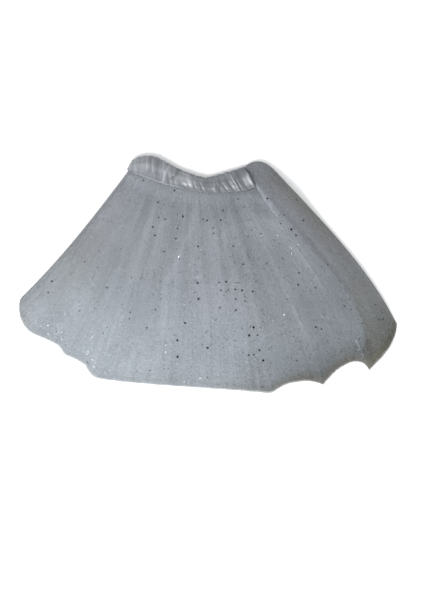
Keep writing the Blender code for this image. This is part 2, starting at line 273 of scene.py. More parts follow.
def cloth_piece(name, points, across, down, fold, closed=False):
    """A piece of cloth through rows of rings. across and down are its places on the flat cloth,
    in metres, which its UV map keeps, and fold is how far each point stands out of its sheet."""
    rows, count = points.shape[:2]
    index = np.arange(rows * count).reshape(rows, count)
    if closed:
        index = np.concatenate([index, index[:1]])
    after = np.roll(index, -1, axis=1)
    faces = np.stack([index[:-1], index[1:], after[1:], after[:-1]], axis=-1).reshape(-1, 4)
    mesh = bpy.data.meshes.new(name)
    mesh.from_pydata(points.reshape(-1, 3).tolist(), [], faces.tolist())
    mesh.shade_smooth()
    piece = bpy.data.objects.new(name, mesh)
    bpy.context.scene.collection.objects.link(piece)
    along = across.reshape(-1)[faces]
    girth = across.max() + across.ravel()[0] + abs(across.ravel()[1] - across.ravel()[0])
    along = np.where(along.max(1, keepdims=True) - along > girth / 2, along + girth, along)
    flat = np.stack([along, down.reshape(-1)[faces]], axis=-1)
    mesh.uv_layers.new(name="cloth").data.foreach_set("uv", flat.reshape(-1))
    # fold: the shaders paint the cloth lighter where it stands up and darker in its troughs, in part as
    # painted highlight and shade.
    stands = mesh.attributes.new("fold", "FLOAT", "POINT")
    stands.data.foreach_set("value", fold.reshape(-1).astype(np.float32))
    return piece


def net_piece(name, back_sheet, sides, hems, columns, rows, creases=(), tuck=0.0):
    """A net as one thin sheet round its flattened tube, in the middle of its solid's wall. tuck
    is the v where it starts, inside the seam."""
    near, share, face = once_round(columns)
    down = tuck + (1 - tuck) * np.linspace(0, 1, rows + 1)[:, None] ** ROWS_CROWD
    left = side_fold(sides[0], down) if sides else 0 * down
    right = side_fold(sides[1], down) if sides else 0 * down + 1
    flat_u = np.clip(left + (right - left) * share, left + NET_ROUND, right - NET_ROUND)
    round_u = np.where(share < 0.5, left + NET_ROUND * near, right - NET_ROUND * near)
    u = np.where(near < 1, round_u, flat_u)
    front, back = (np.interp(u, HEM_INSETS["u"], HEM_INSETS[hem]) for hem in hems)
    raw_edge = RAW_EDGE * np.sin(310 * u) * np.sin(83 * u + 1) * ease(0.9, 1.0, down)
    down = np.where(u < BAND_END[1], down, np.maximum(down, 0))  # no tuck past the band
    v = down * (1 - (np.where(face > 0, front, back) + abs(raw_edge)) / SKIRT_LENGTH)
    crease = crease_height(creases, u, v) * (face > 0)
    under = sheet_height(back_sheet, u, v)
    over = sheet_height(SHEETS - 1 - back_sheet, u, v) + crease + 0.4 * raw_edge
    closing = np.where(u > SHOULDER_FROM, 0.2 + 0.8 * quarter_round(v / SHOULDER_ROUND), 1)
    height = (under + over) / 2 + face * (over - under) / 2 * quarter_round(near) * closing
    points = np.concatenate([fan(u, v), height[..., None]], axis=-1)
    across = np.where(face > 0, u, 2 - u) * HEM_WIDTH * NET_EASE
    fold = (fold_height(u, v) - FRONT_BULGE) * (face > 0) + CREASE_TONE * crease
    return cloth_piece(name, points, across, v * SKIRT_LENGTH, fold), u, v


def paint_shade_towards_edges(piece, u, v, side):
    """Painted shade on a hidden net: its colour darkens towards its right side and its hem."""
    end = side_fold(side, v)
    grey = np.maximum(ease(end - 0.07, end, u), ease(0.84, 1.0, v / v[-1]) * ease(0.30, 0.65, u))
    painted_shade = piece.data.attributes.new("painted_shade", "FLOAT", "POINT")
    painted_shade.data.foreach_set("value", grey.ravel().astype(np.float32))


class Value:
    """A socket of a material. Its operators add Math nodes, and node() adds any other node."""

    def __init__(self, tree, socket=None):
        self.tree = tree
        self.socket = socket

    def node(self, kind, settings=None, sockets=None, out=0):
        """A new node: its settings first, then the values or links of its sockets."""
        made = self.tree.nodes.new(kind)
        for name, setting in (settings or {}).items():
            setattr(made, name, setting)
        for name, value in (sockets or {}).items():
            if isinstance(value, Value):
                self.tree.links.new(value.socket, made.inputs[name])
            else:
                made.inputs[name].default_value = value
        return Value(self.tree, made.outputs[out] if made.outputs else None)

    def also(self, out):
        """Another output of this value's node."""
        return Value(self.tree, self.socket.node.outputs[out])

    def maths(self, operation, *values):
        return self.node("ShaderNodeMath", {"operation": operation}, dict(enumerate(values)))

    def __add__(self, other):
        return self.maths("ADD", self, other)

    def __sub__(self, other):
        return self.maths("SUBTRACT", self, other)

    def __rsub__(self, other):
        return self.maths("SUBTRACT", other, self)

    def __mul__(self, other):
        return self.maths("MULTIPLY", self, other)

    def __gt__(self, other):
        return self.maths("GREATER_THAN", self, other)

    def __lt__(self, other):
        return self.maths("LESS_THAN", self, other)

    __radd__, __rmul__ = __add__, __mul__

    def cosine(self):
        return self.maths("COSINE", self)

    def mapped(self, low, high, to_low=0.0, to_high=1.0):
        """This value from low to high, brought smoothly to the range from to_low to to_high."""
        ends = {"From Min": low, "From Max": high, "To Min": to_low, "To Max": to_high}
        smooth = {"interpolation_type": "SMOOTHSTEP"}
        return self.node("ShaderNodeMapRange", smooth, {"Value": self, **ends})

    def stretched(self, *scales):
        """This place with its three numbers multiplied by scales."""
        return self.node("ShaderNodeVectorMath", {"operation": "MULTIPLY"}, {0: self, 1: scales})

    def noise(self, scale, detail=2.0):
        """Noise from 0 to 1 at this place, with scale waves a metre."""
        return self.node("ShaderNodeTexNoise", {}, {"Vector": self, "Scale": scale, "Detail": detail})

    def mix(self, a, b, blend="MIX"):
        """Colour a where this value is 0, and b where it is 1. They are sockets 6 and 7."""
        settings = {"data_type": "RGBA", "blend_type": blend}
        return self.node("ShaderNodeMix", settings, {0: self, 6: a, 7: b}, out=2)


def new_material(name):
    material = bpy.data.materials.new(name)
    material.use_nodes = True
    material.node_tree.nodes.clear()
    return material, Value(material.node_tree)


def rgb(red, green, blue):
    """A colour given as it shows on a screen, from 0 to 255, as a shader takes it."""
    shown = [channel / 255 for channel in (red, green, blue)]
    return (*[c / 12.92 if c < 0.04045 else ((c + 0.055) / 1.055) ** 2.4 for c in shown], 1)


NET_CELL = 0.0014


def tulle(name, dark, light, cover, glitter):
    """Hexagonal net. cover is how much of it the eye takes as closed inside the cells."""
    material, start = new_material(name)
    place = start.node("ShaderNodeUVMap", {"uv_map": "cloth"})
    across = start.node("ShaderNodeSeparateXYZ", {}, {0: place})
    turn = 2 * math.pi / NET_CELL
    lean = across * (turn / 2)
    rise = across.also(1) * (turn * math.sqrt(3) / 2)
    cells = (across * turn).cosine() + (lean + rise).cosine() + (rise - lean).cosine()
    thread = cells.mapped(0.2, -1.1)
    space = start.node("ShaderNodeTexCoord", {}, {}, out="Object")
    fall = place.stretched(240.0, 9.0, 1.0).noise(1.0)
    clouds = space.noise(13.0, 3.0)
    grain = space.noise(430.0, 2.0)
    fold = start.node("ShaderNodeAttribute", {"attribute_name": "fold"}, out="Fac")
    # fold makes the net lighter on its folds and creases and darker in the troughs: partly the net lying
    # in more layers there, partly painted highlight and shade.
    tone = 0.5 + (fall - 0.5) * 0.6 + (clouds - 0.5) * 0.7 + (grain - 0.5) * 1.4 + fold * 60.0
    colour = tone.mix(dark, light)
    # Painted shade: an attribute darkens the net towards a grey tint, which turns warm brown where a
    # second attribute is high.
    painted_shade = start.node("ShaderNodeAttribute", {"attribute_name": "painted_shade"}, out="Fac")
    shade_warmth = start.node("ShaderNodeAttribute", {"attribute_name": "shade_warmth"}, out="Fac")
    shade_tint = shade_warmth.mix((0.412, 0.434, 0.422, 1), (0.474, 0.414, 0.306, 1))
    colour = (painted_shade * 0.8).mix(colour, shade_tint, "MULTIPLY")
    mauve = space.noise(8.5).mapped(0.46, 0.60) * 0.5 + across.also(1).mapped(0.12, 0.20, 0.8, 0.0)
    colour = mauve.mix(colour, (1.0, 0.968, 0.985, 1), "MULTIPLY")
    spots = start.node("ShaderNodeTexVoronoi", {}, {"Vector": space, "Scale": 420.0})
    luck = start.node("ShaderNodeSeparateColor", {}, {0: spots.also("Color")})
    fleck = (spots < 0.24) * (luck > 1 - glitter)
    dust = luck.also(1).mix(rgb(52, 54, 60), rgb(200, 206, 214))
    colour = fleck.mix(colour, dust)
    alpha = thread.maths("MAXIMUM", thread * (1 - cover) + cover, fleck)
    bump = {"Strength": 0.30, "Distance": 0.0003, "Height": thread + grain}
    surface = start.node(
        "ShaderNodeBsdfPrincipled",
        {},
        {
            "Base Color": colour,
            "Roughness": 0.62 - 0.35 * fleck,
            "Metallic": fleck * 0.7,
            "Alpha": alpha,
            "Normal": start.node("ShaderNodeBump", {}, bump),
            "Sheen Weight": 0.08,
            "Sheen Roughness": 0.4,
            "Specular IOR Level": 0.30,
        },
    )
    start.node("ShaderNodeOutputMaterial", {}, {"Surface": surface})
    return material


inner_sides = ("inner_left", "inner_right")
inner_net, inner_u, inner_v = net_piece("inner_tulle", 2, inner_sides, ("inner", "inner"), 150, 60)
paint_shade_towards_edges(inner_net, inner_u, inner_v, "inner_right")
PALE_TULLE = (rgb(196, 201, 207), rgb(226, 231, 237))
inner_net.data.materials.append(tulle("inner_tulle", *PALE_TULLE, 1.0, 0.02))
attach(inner_net, "root")
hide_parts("inner_net")


# The middle net
# The same pale tulle cut a little longer and sewn into the same seam, so it lies round the
# inner one, and its raw hem shows through the outer net.

middle_sides = ("middle_left", "middle_right")
middle_net, middle_u, middle_v = net_piece("middle_tulle", 1, middle_sides, ("middle", "middle"), 170, 70)
paint_shade_towards_edges(middle_net, middle_u, middle_v, "middle_right")
middle_net.data.materials.append(tulle("middle_tulle", *PALE_TULLE, 0.14, 0.03))
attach(middle_net, "root")
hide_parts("middle_net")


# The outer net
# The longest, of smoky grey tulle printed all over with fine glitter and cut raw at the hem.
# Painted shade darkens it, most across its right half and near the seam, and more where it lies
# alone, at the right and along the hem, where the shade is also warmer than over the two pale
# nets; listed patches add painted shade or take some off as painted light.

OUTER_CREASES = (  # pressed-in creases of the front: u, v, u, v, height, half width
    (0.193, 0.05, 0.195, 0.32, -0.0010, 0.0050),
    (0.246, 0.06, 0.220, 0.56, 0.0006, 0.0044),
    (0.469, 0.06, 0.444, 0.24, 0.0012, 0.0035),
    (0.444, 0.20, 0.352, 0.48, 0.0013, 0.0038),
    (0.352, 0.44, 0.363, 0.78, 0.0008, 0.0042),
    (0.556, 0.08, 0.525, 0.46, 0.0005, 0.0036),
    (0.464, 0.36, 0.469, 0.80, 0.0006, 0.0042),
    (0.615, 0.26, 0.620, 0.54, -0.0007, 0.0060),
    (0.736, 0.05, 0.733, 0.62, 0.0004, 0.0045),
    (0.726, 0.58, 0.738, 0.86, 0.0004, 0.0045),
    (0.856, 0.03, 0.866, 0.32, 0.0010, 0.0110),
    (0.866, 0.22, 0.829, 0.66, 0.0010, 0.0120),
    (0.522, 0.74, 0.525, 0.97, 0.0005, 0.0035),
    (0.566, 0.74, 0.560, 0.97, 0.0005, 0.0035),
    (0.105, 0.30, 0.112, 0.75, 0.0004, 0.0050),
    (0.300, 0.10, 0.286, 0.50, 0.0005, 0.0040),
    (0.655, 0.10, 0.640, 0.48, 0.0005, 0.0045),
    (0.935, 0.20, 0.940, 0.85, 0.0004, 0.0050),
)
SHADE_MAP = {  # how much painted shade darkens the net, across the skirt and where it lies alone
    "u": (0.00, 0.15, 0.30, 0.45, 0.58, 0.70, 0.80, 0.90, 1.00),
    "across": (0.10, 0.04, 0.00, 0.06, 0.26, 0.50, 0.56, 0.30, 0.12),
    "hem": (0.00, 0.00, 0.00, 0.00, 0.15, 0.25, 0.25, 0.25, 0.50),
    "v": (0.00, 0.10, 0.32, 0.52, 0.68, 0.83, 0.90, 1.00),
    "pale_side": (0.870, 0.888, 0.901, 0.930, 0.924, 0.895, 0.870, 0.820),
    "right": (0.00, 0.00, 0.00, 0.00, 0.15, 0.50, 0.65, 0.65),
}
SHADE_AND_LIGHT_PATCHES = (  # u, v, half width, half height, how much painted shade is added, or taken off as painted light
    (0.15, 0.44, 0.12, 0.24, 0.42),
    (0.05, 0.60, 0.07, 0.18, 0.42),
    (0.02, 0.82, 0.04, 0.09, 0.18),
    (0.02, 0.97, 0.03, 0.05, 0.24),
    (0.15, 0.71, 0.05, 0.09, 0.16),
    (0.13, 0.09, 0.10, 0.08, -0.26),
    (0.27, 0.32, 0.03, 0.12, 0.18),
    (0.31, 0.50, 0.035, 0.15, 0.32),
    (0.37, 0.27, 0.05, 0.15, 0.36),
    (0.42, 0.58, 0.05, 0.11, 0.24),
    (0.48, 0.12, 0.04, 0.09, -0.20),
    (0.58, 0.26, 0.03, 0.16, -0.16),
    (0.79, 0.17, 0.09, 0.18, -0.60),
    (0.79, 0.08, 0.05, 0.05, -0.45),
    (0.85, 0.08, 0.04, 0.09, -0.60),
    (0.865, 0.27, 0.035, 0.17, -0.70),
    (0.93, 0.34, 0.03, 0.20, -0.24),
    (0.86, 0.72, 0.04, 0.12, 0.34),
    (0.72, 0.95, 0.03, 0.08, 0.40),
    (0.845, 0.96, 0.03, 0.09, 0.85),
    (0.92, 0.74, 0.04, 0.10, 0.14),
    (0.94, 0.86, 0.03, 0.08, -0.20),
    (1.00, 0.35, 0.05, 0.35, 0.50),
    (0.70, 0.64, 0.09, 0.20, 0.20),
    (0.62, 0.92, 0.06, 0.16, 0.16),
)
SEAM_SHADE = 0.42  # painted shade added at the seam, and fading down the skirt
BAND_LIGHT = 0.30  # painted light: painted shade taken off just under the band
SIDE_BLUR = 0.010  # half width in u of the pale nets' side, seen through
HEM_BLUR = (0.035, 0.015)  # in v, above their hem and below it
RAW_HEM_SHADE = (0.20, 0.26)  # painted shade at the raw hem, and how much more to the right
# The most painted shade a point can take.
FULL_SHADE = 1.25
outer_hems = ("outer_front", "outer_back")
outer_net, outer_u, outer_v = net_piece(
    "outer_tulle", 0, None, outer_hems, 300, 120, OUTER_CREASES, -0.014
)
# Painted shade and painted light on the outer net, from the tables above, kept as attributes that its
# shader reads.
painted_shade = np.interp(outer_u, SHADE_MAP["u"], SHADE_MAP["across"])
painted_shade = painted_shade + SEAM_SHADE * (1 - ease(0.0, 0.88, outer_v))
painted_shade = painted_shade - BAND_LIGHT * (1 - ease(0.03, 0.18, outer_v))
pale_side = np.interp(outer_v, SHADE_MAP["v"], SHADE_MAP["pale_side"])
past_side = ease(pale_side - SIDE_BLUR, pale_side + SIDE_BLUR, outer_u)
past_side = past_side * np.interp(outer_v, SHADE_MAP["v"], SHADE_MAP["right"])
pale_hem = 1 - np.interp(outer_u, HEM_INSETS["u"], HEM_INSETS["middle"]) / SKIRT_LENGTH
past_hem = ease(pale_hem - HEM_BLUR[0], pale_hem + HEM_BLUR[1], outer_v)
past_hem = past_hem * np.interp(outer_u, SHADE_MAP["u"], SHADE_MAP["hem"])
raw_hem = RAW_HEM_SHADE[0] + RAW_HEM_SHADE[1] * ease(0.40, 0.70, outer_u)
raw_hem = raw_hem * ease(0.945, 0.990, outer_v)
for patch_u, patch_v, wide, tall, amount in SHADE_AND_LIGHT_PATCHES:
    far = ((outer_u - patch_u) / wide) ** 2 + ((outer_v - patch_v) / tall) ** 2
    painted_shade = painted_shade + amount * np.exp(-far)
alone = np.maximum(past_side, past_hem) + raw_hem
# The painted shade turns warmer where the net lies alone and near its left and right sides.
shade_warmth = alone + 1.0 * ease(0.88, 0.96, outer_u) + 0.5 * (1 - ease(0.03, 0.14, outer_u))
for name, amount in (("painted_shade", np.clip(painted_shade + alone, 0, FULL_SHADE)), ("shade_warmth", np.clip(shade_warmth, 0, 1))):
    values = amount.astype(np.float32).ravel()
    outer_net.data.attributes.new(name, "FLOAT", "POINT").data.foreach_set("value", values)
outer_net.data.materials.append(tulle("outer_tulle", rgb(105, 111, 116), rgb(149, 155, 161), 0.50, 0.10))
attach(outer_net, "root")
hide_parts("outer_net")


# Sequins and glitter
# Flat round sequins, each cupped a little round its hole, are dotted over the outer net, and
# fine six-sided glitter lies between them. Most are dark; a few turned to the light flash.

LARGE_SEQUINS = (  # where they lie, in millimetres
    (-14, -12), (48, -23), (49, 14), (25, -11), (39, -50), (133, 75), (116, 62), (-32, -68),
    (-42, -116), (64, -74), (150, -74), (77, -120), (-43, -93), (-13, -35), (57, -86),
    (0, -103), (62, -24),
)
SMALL_SEQUINS = (
    (-14, 39), (21, 89), (42, 105), (-62, 31), (-69, 79), (-46, 121), (150, -19), (245, -63),
    (-223, -26), (-218, -10), (-141, -19), (-109, -53), (-90, 132), (-85, -75), (-74, 54),
    (-73, -50), (-70, 100), (-60, 76), (-45, 49), (-43, 63), (-7, 76), (-1, 75), (15, -12),
    (17, -47), (18, 75), (38, -21), (39, -35), (57, -113), (64, -113), (74, 56), (83, 105),
    (126, -15), (158, -77), (190, -44), (69, -85), (-77, 66), (124, -121), (18, -23), (123, 54),
    (72, -106), (127, 1), (-35, 80), (52, -37), (8, 57), (35, 39),
)
FINE_SEQUINS = (
    (-170, -124), (-179, -51), (-172, 17), (-147, -82), (-141, -75), (167, 13), (234, -43),
    (104, 22),
)
FLASHING_SEQUINS = (  # the first two are larger
    (-59, -99), (-41, 24), (-11, 34), (55, 94), (62, 94), (64, 117), (98, 54), (74, 54),
    (106, -57), (214, -112), (137, 12), (53, 36), (-195, -100), (-215, -83), (-25, 14),
    (91, -65), (-15, 86), (-34, -30), (-60, -109), (125, 41), (111, -14), (185, -29),
    (66, -119), (164, -35), (-62, 12),
)
scatter = np.random.default_rng(11)


def front_of_skirt(u, v):
    """Points on the front of the outer net, and the way out of the cloth there."""

    def place(u, v):
        height = sheet_height(SHEETS - 1, u, v) + crease_height(OUTER_CREASES, u, v)
        return np.concatenate([fan(u, v), height[..., None]], axis=-1)

    step = 0.002
    out = np.cross(place(u, v + step) - place(u, v - step), place(u + step, v) - place(u - step, v))
    return place(u, v), out / np.linalg.norm(out, axis=-1, keepdims=True)


def back_of_skirt(u, v):
    """Points on the back of the outer net, which lies on the table."""
    height = sheet_height(0, u, v)
    points = np.concatenate([fan(u, v), height[..., None]], axis=-1)
    return points, np.zeros_like(points) - (0, 0, 1)


search_u, search_v = np.meshgrid(np.linspace(0.02, 0.98, 481), np.linspace(0.04, 0.98, 241))
searched = fan(search_u, search_v)


def found_at(places):
    """The u and v of places given in millimetres."""
    far = [((searched - np.array(place) / 1000) ** 2).sum(-1).argmin() for place in places]
    return search_u.flat[far], search_v.flat[far]


def scattered(count, centred):
    """u and v for count pieces, the share centred of them near the middle of the skirt."""
    u = scatter.uniform(0.03, 0.97, count)
    middle = np.clip(scatter.normal(0.60, 0.18, count), 0.03, 0.97)
    u = np.where(scatter.uniform(size=count) < centred, middle, u)
    return u, 0.06 + 0.92 * scatter.uniform(size=count) ** 0.72


def discs(name, points, outs, radii, leans, profile, sides):
    """Small flat pieces on points as one mesh. leans tips each one, and profile gives its rings
    from the rim inwards, as shares of its radius: how far out and how high."""
    outs = outs + leans
    outs = outs / np.linalg.norm(outs, axis=-1, keepdims=True)
    side = np.cross(outs, scatter.normal(size=outs.shape))
    side = side / np.linalg.norm(side, axis=-1, keepdims=True)
    other = np.cross(outs, side)
    angle = np.arange(sides) * 2 * math.pi / sides
    rounds = np.cos(angle)[None, :, None] * side[:, None] + np.sin(angle)[None, :, None] * other[:, None]
    rings = [rounds * reach + outs[:, None] * rise for reach, rise in profile]
    radii = np.asarray(radii)[:, None, None, None]
    places = points[:, None, None] + np.stack(rings, axis=1) * radii
    index = np.arange(places[..., 0].size).reshape(places.shape[:3])
    if len(profile) == 1:
        faces = index[:, 0]
    else:
        outside, inside = index[:, :-1], index[:, 1:]
        turned = [outside, np.roll(outside, -1, 2), np.roll(inside, -1, 2), inside]
        faces = np.stack(turned, axis=-1).reshape(-1, 4)
    mesh = bpy.data.meshes.new(name)
    mesh.from_pydata(places.reshape(-1, 3).tolist(), [], faces.tolist())
    own = np.repeat(scatter.uniform(size=len(points)), len(profile) * sides)
    mesh.attributes.new("own", "FLOAT", "POINT").data.foreach_set("value", own.astype(np.float32))
    piece = bpy.data.objects.new(name, mesh)
    bpy.context.scene.collection.objects.link(piece)
    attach(piece, "root")
    return piece


def foil(name, dark, light, low, high):
    """Thin metal foil, each piece of its own shade between dark and light."""
    material, start = new_material(name)
    own = start.node("ShaderNodeAttribute", {"attribute_name": "own"}, out="Fac")
    space = start.node("ShaderNodeTexCoord", {}, {}, out="Object")
    scuffs = space.noise(900.0)
    surface = start.node(
        "ShaderNodeBsdfPrincipled",
        {},
        {
            "Base Color": own.mapped(low, high).mix(dark, light),
            "Roughness": 0.16 + 0.22 * scuffs,
            "Metallic": 0.92,
        },
    )
    start.node("ShaderNodeOutputMaterial", {}, {"Surface": surface})
    return material


SPARE_SEQUINS = 260
EXTRA_FLASHES = 24
BACK_SEQUINS = 160
FRONT_GLITTER = 9000
BACK_GLITTER = 3000
SEQUIN_LIFT = 0.0004  # over the middle of the net, as are the next three
FLASHING_LIFT = 0.0006
GLITTER_LIFT = 0.00025
BACK_LIFT = 0.0002
SEQUIN = ((1.0, 0.0), (0.90, 0.05), (0.55, 0.16), (0.16, 0.20))  # the rings of its cup
TO_THE_WINDOW = np.array((-0.30, -0.32, 0.0))
grey_foil = foil("grey_foil", rgb(20, 22, 26), rgb(74, 78, 84), 0.2, 1.0)
silver_foil = foil("silver_foil", rgb(226, 232, 240), rgb(250, 252, 255), 0.0, 1.0)

large_at, large_out = front_of_skirt(*found_at(LARGE_SEQUINS))
small_at, small_out = front_of_skirt(*found_at(SMALL_SEQUINS))
fine_at, fine_out = front_of_skirt(*found_at(FINE_SEQUINS))
spare_at, spare_out = front_of_skirt(*scattered(SPARE_SEQUINS, 0.85))
dark_at = np.concatenate([large_at, small_at, fine_at, spare_at])
dark_out = np.concatenate([large_out, small_out, fine_out, spare_out])
dark_radii = np.concatenate(
    [
        scatter.uniform(0.00144, 0.00166, len(large_at)),
        scatter.uniform(0.00106, 0.00136, len(small_at)),
        scatter.uniform(0.00080, 0.00094, len(fine_at)),
        scatter.uniform(0.00046, 0.00080, len(spare_at)),
    ]
)
dark_leans = scatter.normal(0, 0.06, dark_at.shape) * (1, 1, 0)
dark_at = dark_at + SEQUIN_LIFT * dark_out
dark_sequins = discs("dark_sequins", dark_at, dark_out, dark_radii, dark_leans, SEQUIN, 14)
dark_sequins.data.materials.append(grey_foil)

flash_at, flash_out = front_of_skirt(*found_at(FLASHING_SEQUINS))
extra_at, extra_out = front_of_skirt(*scattered(EXTRA_FLASHES, 0.7))
flash_at = np.concatenate([flash_at, extra_at])
flash_out = np.concatenate([0 * flash_out + (0, 0, 1), extra_out])
flash_radii = np.concatenate(
    [
        (0.00062, 0.00054),
        scatter.uniform(0.00028, 0.00038, len(FLASHING_SEQUINS) - 2),
        scatter.uniform(0.00014, 0.00022, len(extra_at)),
    ]
)
flash_leans = TO_THE_WINDOW + scatter.normal(0, 0.05, flash_at.shape) * (1, 1, 0)
flash_at = flash_at + FLASHING_LIFT * flash_out
flashing = discs("silver_sequins", flash_at, flash_out, flash_radii, flash_leans, SEQUIN, 14)
flashing.data.materials.append(silver_foil)

back_at, back_out = back_of_skirt(*scattered(BACK_SEQUINS, 0.3))
back_radii = scatter.uniform(0.0007, 0.0015, BACK_SEQUINS)
back_at = back_at + BACK_LIFT * back_out
back_sequins = discs("back_sequins", back_at, back_out, back_radii, 0 * back_at, SEQUIN, 12)
back_sequins.data.materials.append(grey_foil)

glitter_at, glitter_out = front_of_skirt(*scattered(FRONT_GLITTER, 0.65))
under_at, under_out = back_of_skirt(*scattered(BACK_GLITTER, 0.2))
glitter_at = glitter_at + GLITTER_LIFT * glitter_out
glitter_at = np.concatenate([glitter_at, under_at + BACK_LIFT * under_out])
glitter_out = np.concatenate([glitter_out, under_out])
glitter_leans = scatter.normal(0, 0.12, glitter_at.shape) * (1, 1, 0)
glitter_radii = scatter.uniform(0.00016, 0.00036, len(glitter_at))
glitter = discs("glitter", glitter_at, glitter_out, glitter_radii, glitter_leans, ((1.0, 0.0),), 6)
glitter.data.materials.append(foil("glitter_foil", rgb(60, 64, 72), rgb(184, 190, 198), 0.45, 1.0))


# The waistband
# A casing of pale grey satin with elastic inside, which draws it up in some eighteen uneven
# gathers. It takes in the seam of the nets at its lower edge, and its top edge is a soft fold.

BAND_LOW_START = (-0.113, 0.146)
BAND_LOW = ((90, (-0.060, 0.120), (0.010, 0.103), (0.0680, 0.121)),)
BAND_TOP_START = (-0.108, 0.1565)
BAND_TOP = (
    (20, (-0.100, 0.165), (-0.085, 0.169), (-0.072, 0.1645)),
    (40, (-0.058, 0.158), (-0.030, 0.1395), (-0.003, 0.135)),
    (30, (0.008, 0.138), (0.030, 0.142), (0.0523, 0.1515)),
)
BAND_WIDTH = 0.190  # from left to right as it lies
BAND_HEIGHT = 0.026  # from the seam to its top fold
BAND_SLOT = 0.0026
BAND_ROUND = 0.0040
BAND_PLEATS = 18
PLEAT_HEIGHT = 0.0016
SEAM_PRESSED = 0.0010
TURN_STARTS = 0.04  # share of the height where each edge turns in
TURN_REACH = 0.035
BAND_STACK = SHEETS * NET_WALL + (SHEETS - 1) * SEAM_GAP + 2 * BAND_CLEARANCE
BAND_CREASES = (  # share along the top, share along the seam, from, to, height, half width
    (0.158, 0.163, 0.30, 0.98, 0.0010, 0.0013),
    (0.187, 0.190, 0.25, 0.95, -0.0006, 0.0012),
    (0.208, 0.211, 0.30, 0.98, 0.0008, 0.0011),
    (0.255, 0.248, 0.05, 0.95, -0.0010, 0.0040),
    (0.309, 0.300, 0.60, 1.05, 0.0004, 0.0010),
    (0.372, 0.285, -0.05, 0.85, 0.0012, 0.0020),
    (0.470, 0.325, 0.30, 1.05, -0.0011, 0.0024),
    (0.470, 0.470, -0.05, 0.30, -0.0008, 0.0040),
    (0.520, 0.500, 0.25, 0.95, 0.0009, 0.0060),
    (0.598, 0.556, 0.05, 0.60, -0.0008, 0.0014),
    (0.665, 0.630, -0.05, 0.80, -0.0008, 0.0040),
    (0.745, 0.690, -0.05, 0.75, 0.0008, 0.0020),
    (0.800, 0.728, -0.05, 0.70, -0.0013, 0.0018),
    (0.830, 0.812, -0.05, 0.70, -0.0005, 0.0070),
    (0.885, 0.872, 0.00, 0.90, 0.0012, 0.0013),
    (0.935, 0.915, 0.10, 0.95, -0.0010, 0.0028),
    (0.992, 0.990, 0.02, 0.72, 0.0018, 0.0026),
)


def pleat(s):
    """How far the satin stands up at a share s of the band, from 0 between gathers to 1."""
    uneven = s + 0.010 * np.sin(2 * np.pi * 2.3 * s) + 0.006 * np.sin(2 * np.pi * 5.1 * s + 1.0)
    deep = 0.70 + 0.30 * np.sin(2 * np.pi * 3.7 * s + 0.6)
    return deep * abs(np.sin(np.pi * BAND_PLEATS * uneven)) ** 0.8


def band_surface(near, share, face, station, inset):
    """Points of the band's wall, and how far its creases stand out. station runs from the seam,
    0, to the top edge, 1, and inset is the depth below the satin's outside."""
    end = (inset + near * (BAND_ROUND - inset)) / BAND_WIDTH
    s = end + (1 - 2 * end) * share
    gathers = pleat(s)
    crease = 0 * s * station
    for top, seam, begins, ends, tall, wide in BAND_CREASES:
        wander = 0.003 * np.sin(9 * station + 20 * top)
        off = (s - seam - (top - seam) * station - wander) / (wide / BAND_WIDTH)
        shown = ease(begins - 0.08, begins + 0.15, station) * (1 - ease(ends - 0.15, ends + 0.08, station))
        crease = crease + tall * shown * np.exp(-(off**2))
    low = outline(BAND_LOW_START, BAND_LOW, s)
    top = outline(BAND_TOP_START, BAND_TOP, s)
    puffed = station + 0.045 * ease(0.6, 1.0, station) * (gathers - 0.6)
    puffed = puffed - 0.030 * (1 - ease(0.0, 0.4, station)) * (gathers - 0.4)
    place = low + (top - low) * puffed[..., None] + LAID_AT
    clear = BAND_STACK + (BAND_SLOT - BAND_STACK) * ease(0.55, 1.0, station)
    relief = 1 - 0.35 * abs(2 * station - 1)
    under = GROOVE_DEPTH * np.maximum(0, 1 - 2 * gathers) + inset
    over = GROOVE_DEPTH + 2 * BAND_WALL + clear + PLEAT_HEIGHT * gathers * relief - inset
    pressed = SEAM_PRESSED * (1 - ease(0.05, 0.32, station)) * (face > 0)
    over = over + (crease * (face > 0) - pressed) * (1 - inset / BAND_WALL)
    middle = (under + over) / 2
    height = middle + (np.where(face > 0, over, under) - middle) * quarter_round(near)
    return np.concatenate([place, height[..., None]], axis=-1), crease + 0.0003 * (gathers - 0.5)


turned_edge = np.linspace(0, np.pi, 7)[1:-1]
outside = np.linspace(TURN_STARTS, 1 - TURN_STARTS, 25)
inside = np.linspace(1 - TURN_STARTS, TURN_STARTS, 9)
reach = TURN_REACH * np.sin(turned_edge)
band_station = np.concatenate([outside, 1 - TURN_STARTS + reach, inside, TURN_STARTS - reach])
band_station = band_station[:, None]
wall_depth = BAND_WALL * (1 - np.cos(turned_edge)) / 2
band_inset = np.concatenate([0 * outside, wall_depth, 0 * inside + BAND_WALL, wall_depth[::-1]])[:, None]
near, share, face = once_round(420)
band_points, band_fold = band_surface(near, share, face, band_station, band_inset)
band_across = np.where(face > 0, share, 2 - share) * BAND_WIDTH + 0 * band_station
band_down = band_station * BAND_HEIGHT + band_inset + 0 * band_across
band = cloth_piece("satin_waistband", band_points, band_across, band_down, band_fold, closed=True)


